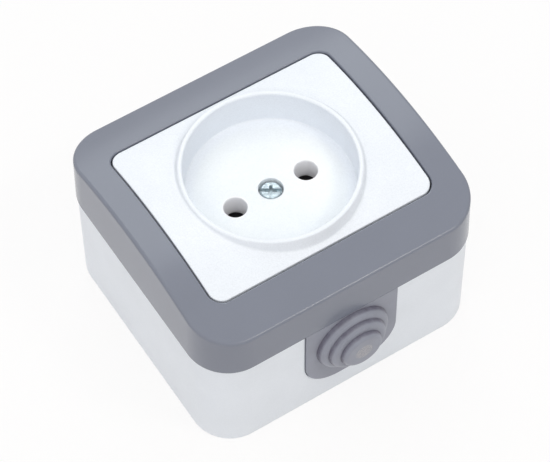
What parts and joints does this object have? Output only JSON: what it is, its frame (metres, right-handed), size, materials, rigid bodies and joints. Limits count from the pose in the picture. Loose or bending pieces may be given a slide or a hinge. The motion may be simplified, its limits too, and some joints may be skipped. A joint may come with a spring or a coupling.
{
  "type": "unearthed socket outlet",
  "caption": "Surface-mounted unearthed socket outlet: light grey box, grey bezel with an arched top, white face with a round recess for a two-pin plug, and a stepped rubber cable gland.",
  "frame": {"origin": "middle of the wall face at the back of the box", "axes": "+Z out of the wall through the face, +X along the line of the pin holes, +Y up on the wall, so that the cable gland is in the -Y wall"},
  "size_m": [0.0734, 0.0729, 0.0469],
  "materials": {
    "box_plastic": "fine satin",
    "frame_plastic": "fine satin",
    "face_plastic": "satin gloss",
    "gland_rubber": "matt",
    "seal_rubber": "matt",
    "insulator": "satin",
    "contact_brass": "bright",
    "spring_steel": "bright",
    "plated_steel": "zinc plated",
    "washer_plastic": "satin"
  },
  "bodies": {
    "socket": {"back_box": "box_plastic", "bezel_frame": "frame_plastic", "socket_face": "face_plastic", "face_screw": "plated_steel", "cable_gland": "gland_rubber", "sealing_gasket": "seal_rubber", "contact_carrier": "insulator", "contact_cover": "insulator", "contact_clip_left": "contact_brass", "contact_clip_right": "contact_brass", "contact_spring_left": "spring_steel", "contact_spring_right": "spring_steel", "carrier_screw_left": "plated_steel", "carrier_screw_right": "plated_steel", "threaded_insert": "contact_brass", "screw_retainer": "washer_plastic"},
    "left_clamp": {"clamp_plate_left": "plated_steel"},
    "right_clamp": {"clamp_plate_right": "plated_steel"},
    "left_terminal": {"terminal_screw_left": "plated_steel"},
    "right_terminal": {"terminal_screw_right": "plated_steel"}
  },
  "joints": [
    {"name": "left_clamp_lift", "type": "slide", "parent": "socket", "child": "left_clamp", "axis": [0, 0, 1], "range_m": [0, 0.0025]},
    {"name": "left_screw_turn", "type": "hinge", "parent": "left_clamp", "child": "left_terminal", "pos_m": [-0.0205, 0, 0.0168], "axis": [0, 0, 1], "range_deg": [0, 1500]},
    {"name": "right_clamp_lift", "type": "slide", "parent": "socket", "child": "right_clamp", "axis": [0, 0, 1], "range_m": [0, 0.0025]},
    {"name": "right_screw_turn", "type": "hinge", "parent": "right_clamp", "child": "right_terminal", "pos_m": [0.0205, 0, 0.0168], "axis": [0, 0, 1], "range_deg": [0, 1500]}
  ],
  "couplings": [
    {"joint": "left_screw_turn", "follows": "left_clamp_lift", "rad_per_m": 10472},
    {"joint": "right_screw_turn", "follows": "right_clamp_lift", "rad_per_m": 10472}
  ]
}
